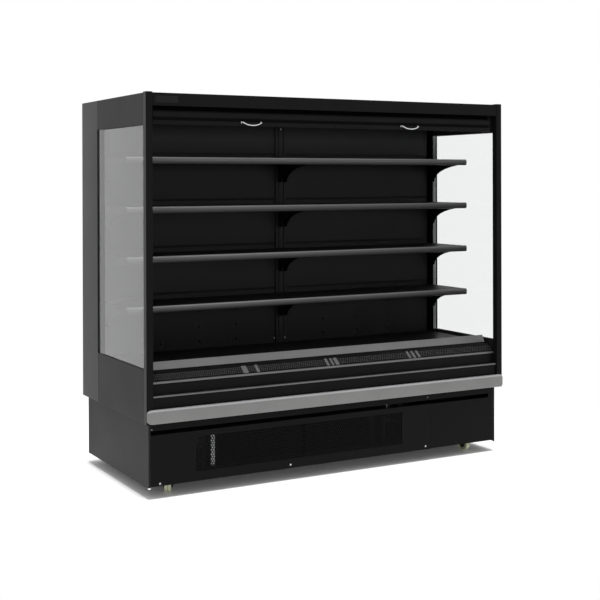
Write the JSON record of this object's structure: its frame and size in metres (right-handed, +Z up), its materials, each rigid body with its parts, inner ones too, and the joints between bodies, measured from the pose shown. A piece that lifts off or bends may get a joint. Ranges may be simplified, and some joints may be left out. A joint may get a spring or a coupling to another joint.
{
  "type": "open multideck display fridge",
  "caption": "Open-fronted chilled display cabinet with shelf tiers, glazed ends, night blinds and castors.",
  "frame": {"origin": "on the floor under the middle of the bounding box", "axes": "+X to the right seen from the front, +Y to the back, +Z up"},
  "size_m": [2.124, 0.948, 1.946],
  "materials": {
    "foam_panel": "foam-filled panel with a charcoal powder-coated skin",
    "black_steel": "satin black powder coat",
    "grey_steel": "charcoal powder coat",
    "black_aluminium": "satin black coated extrusion",
    "silver_aluminium": "matt anodised",
    "ticket_rail": "silver-grey extruded plastic",
    "end_glass": "clear toughened pane",
    "grille_plastic": "moulded honeycomb",
    "bare_steel": "zinc plated",
    "castor_tyre": "yellow-green tyre on a pale hub",
    "coil_fins": "bare fins",
    "fan_plastic": "moulded",
    "blind_fabric": "black woven night blind"
  },
  "bodies": {
    "cabinet": {"rear_shell": "foam_panel", "insulated_tub": "foam_panel", "canopy": "foam_panel", "left_end_upper_panel": "foam_panel", "left_end_lower_panel": "foam_panel", "left_front_post": "black_aluminium", "left_end_glass": "end_glass", "right_end_upper_panel": "foam_panel", "right_end_lower_panel": "foam_panel", "right_front_post": "black_aluminium", "right_end_glass": "end_glass", "centre_upright": "black_steel", "left_upright": "black_steel", "right_upright": "black_steel", "left_back_panel": "black_steel", "right_back_panel": "black_steel", "left_shelf_1": "black_steel", "right_shelf_1": "black_steel", "ticket_rail_1": "ticket_rail", "left_shelf_2": "black_steel", "right_shelf_2": "black_steel", "ticket_rail_2": "ticket_rail", "left_shelf_3": "black_steel", "right_shelf_3": "black_steel", "ticket_rail_3": "ticket_rail", "left_shelf_4": "black_steel", "right_shelf_4": "black_steel", "ticket_rail_4": "ticket_rail", "left_deck_pan": "black_steel", "right_deck_pan": "black_steel", "deck_riser": "silver_aluminium", "return_grille": "grille_plastic", "front_wall": "foam_panel", "bumper": "silver_aluminium", "fascia": "black_aluminium", "blind_cassette": "black_aluminium", "left_blind_fabric": "blind_fabric", "left_base_side": "grey_steel", "right_blind_fabric": "blind_fabric", "right_base_side": "grey_steel", "chassis": "black_steel", "kick_panel": "black_steel", "kick_end_panel": "black_steel", "base_rear_panel": "grey_steel", "condenser_coil": "coil_fins", "compressor": "black_steel", "evaporator_coil": "coil_fins"},
    "left_bar": {"left_pull_bar": "black_aluminium"},
    "left_roller": {"left_blind_roller": "bare_steel"},
    "right_bar": {"right_pull_bar": "black_aluminium"},
    "right_roller": {"right_blind_roller": "bare_steel"},
    "front_left_fork": {"front_left_castor_fork": "bare_steel"},
    "front_left_wheel": {"front_left_castor_wheel": "castor_tyre"},
    "front_right_fork": {"front_right_castor_fork": "bare_steel"},
    "front_right_wheel": {"front_right_castor_wheel": "castor_tyre"},
    "rear_left_fork": {"rear_left_castor_fork": "bare_steel"},
    "rear_left_wheel": {"rear_left_castor_wheel": "castor_tyre"},
    "rear_right_fork": {"rear_right_castor_fork": "bare_steel"},
    "rear_right_wheel": {"rear_right_castor_wheel": "castor_tyre"},
    "fan": {"condenser_fan": "fan_plastic"}
  },
  "joints": [
    {"name": "left_blind_drop", "type": "slide", "parent": "cabinet", "child": "left_bar", "axis": [0, 0, -1], "range_m": [0, 1.2], "stiffness_N_per_m": 8, "springref_m": -2, "deforming": ["left_blind_fabric"]},
    {"name": "left_roller_spin", "type": "hinge", "parent": "cabinet", "child": "left_roller", "pos_m": [-0.5195, -0.43, 1.841], "axis": [1, 0, 0], "range_deg": [0, 5300]},
    {"name": "right_blind_drop", "type": "slide", "parent": "cabinet", "child": "right_bar", "axis": [0, 0, -1], "range_m": [0, 1.2], "stiffness_N_per_m": 8, "springref_m": -2, "deforming": ["right_blind_fabric"]},
    {"name": "right_roller_spin", "type": "hinge", "parent": "cabinet", "child": "right_roller", "pos_m": [0.4835, -0.43, 1.841], "axis": [1, 0, 0], "range_deg": [0, 5300]},
    {"name": "front_left_castor_swivel", "type": "hinge", "parent": "cabinet", "child": "front_left_fork", "pos_m": [-0.906, -0.336, 0.088], "axis": [0, 0, 1], "continuous": true},
    {"name": "front_left_wheel_spin", "type": "hinge", "parent": "front_left_fork", "child": "front_left_wheel", "pos_m": [-0.89817, -0.31979, 0.03], "axis": [0.9004, -0.435, 0], "continuous": true},
    {"name": "front_right_castor_swivel", "type": "hinge", "parent": "cabinet", "child": "front_right_fork", "pos_m": [0.906, -0.336, 0.088], "axis": [0, 0, 1], "continuous": true},
    {"name": "front_right_wheel_spin", "type": "hinge", "parent": "front_right_fork", "child": "front_right_wheel", "pos_m": [0.89833, -0.31971, 0.03], "axis": [0.9048, 0.4259, 0], "continuous": true},
    {"name": "rear_left_castor_swivel", "type": "hinge", "parent": "cabinet", "child": "rear_left_fork", "pos_m": [-0.906, 0.33, 0.088], "axis": [0, 0, 1], "continuous": true},
    {"name": "rear_left_wheel_spin", "type": "hinge", "parent": "rear_left_fork", "child": "rear_left_wheel", "pos_m": [-0.89983, 0.34691, 0.03], "axis": [0.9394, -0.3429, 0], "continuous": true},
    {"name": "rear_right_castor_swivel", "type": "hinge", "parent": "cabinet", "child": "rear_right_fork", "pos_m": [0.906, 0.33, 0.088], "axis": [0, 0, 1], "continuous": true},
    {"name": "rear_right_wheel_spin", "type": "hinge", "parent": "rear_right_fork", "child": "rear_right_wheel", "pos_m": [0.90068, 0.3472, 0.03], "axis": [0.9553, 0.2955, 0], "continuous": true},
    {"name": "fan_spin", "type": "hinge", "parent": "cabinet", "child": "fan", "pos_m": [-0.225, -0.312, 0.2003], "axis": [0, 1, 0], "continuous": true}
  ],
  "couplings": [
    {"joint": "left_roller_spin", "follows": "left_blind_drop", "rad_per_m": 76.923},
    {"joint": "right_roller_spin", "follows": "right_blind_drop", "rad_per_m": 76.923}
  ]
}
